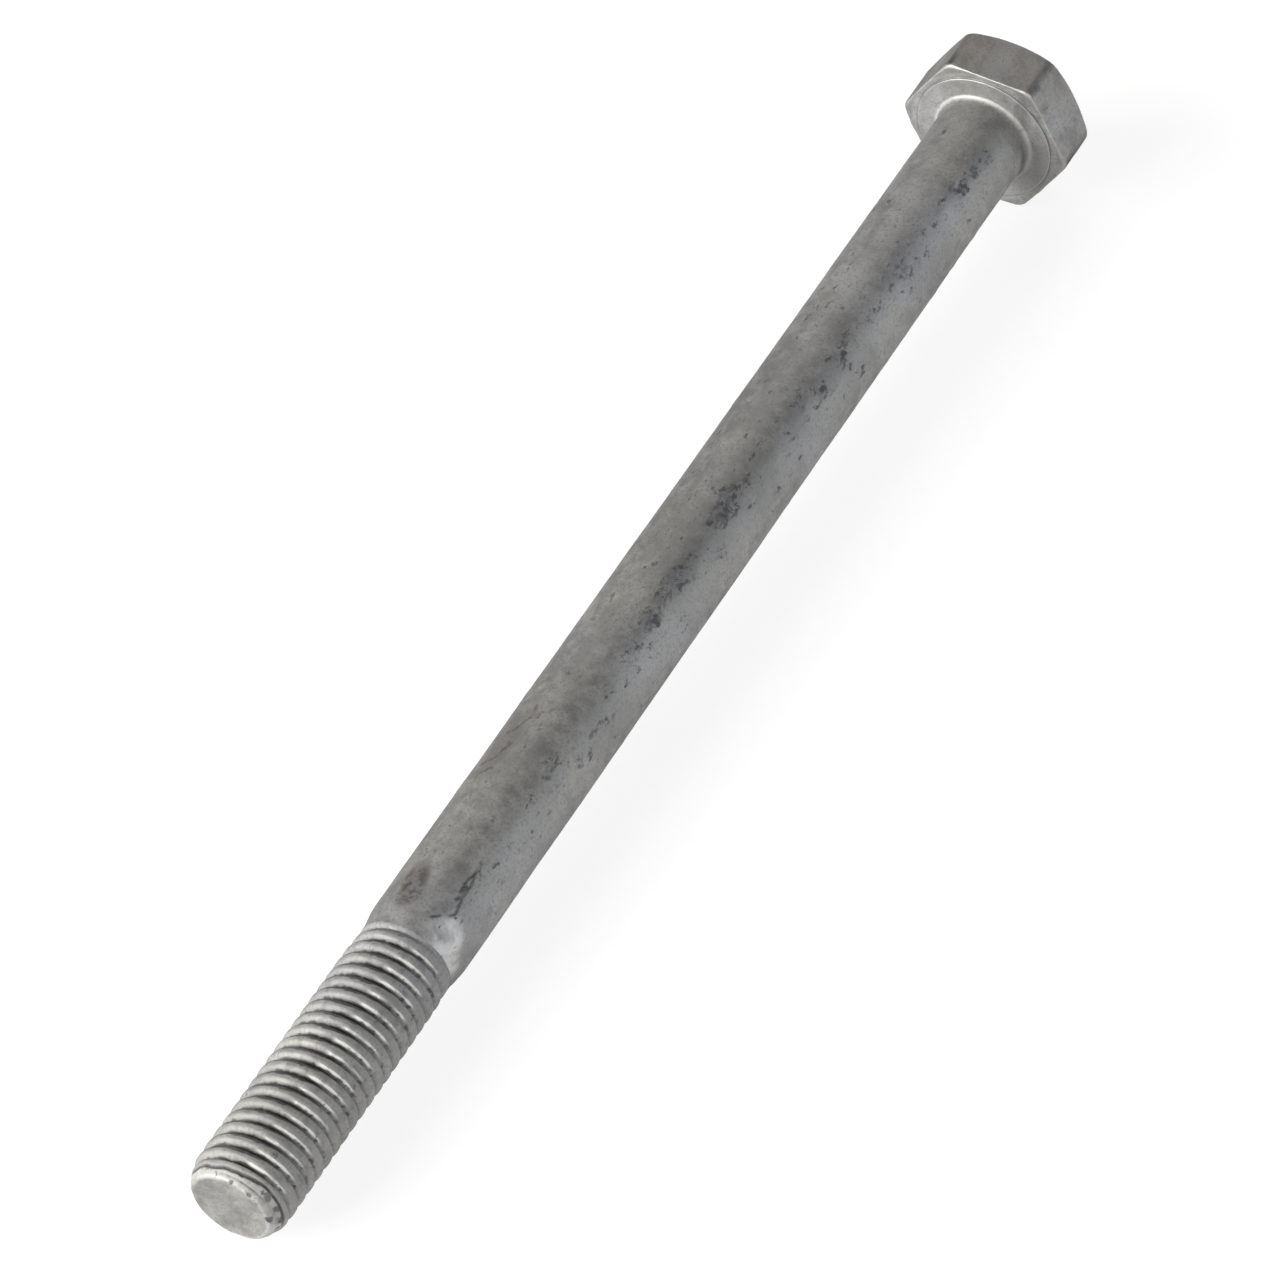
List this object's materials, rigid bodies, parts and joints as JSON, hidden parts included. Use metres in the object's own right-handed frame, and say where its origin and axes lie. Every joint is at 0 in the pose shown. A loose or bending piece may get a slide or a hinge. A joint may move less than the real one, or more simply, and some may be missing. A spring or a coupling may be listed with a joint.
{
  "type": "hex bolt",
  "caption": "Long hexagon-head bolt with a plain shank and a short rolled thread at its end, hot-dip galvanised.",
  "frame": {"origin": "centre of the bearing face under the head", "axes": "+X along the shank to the point, +Z out of a flat of the hexagon"},
  "size_m": [0.1564, 0.0184, 0.016],
  "materials": {
    "galvanised_steel": "hot-dip zinc coat, matte grey, with stains and light handling marks"
  },
  "bodies": {
    "root": {"head": "galvanised_steel", "shank": "galvanised_steel", "thread": "galvanised_steel"}
  },
  "joints": []
}
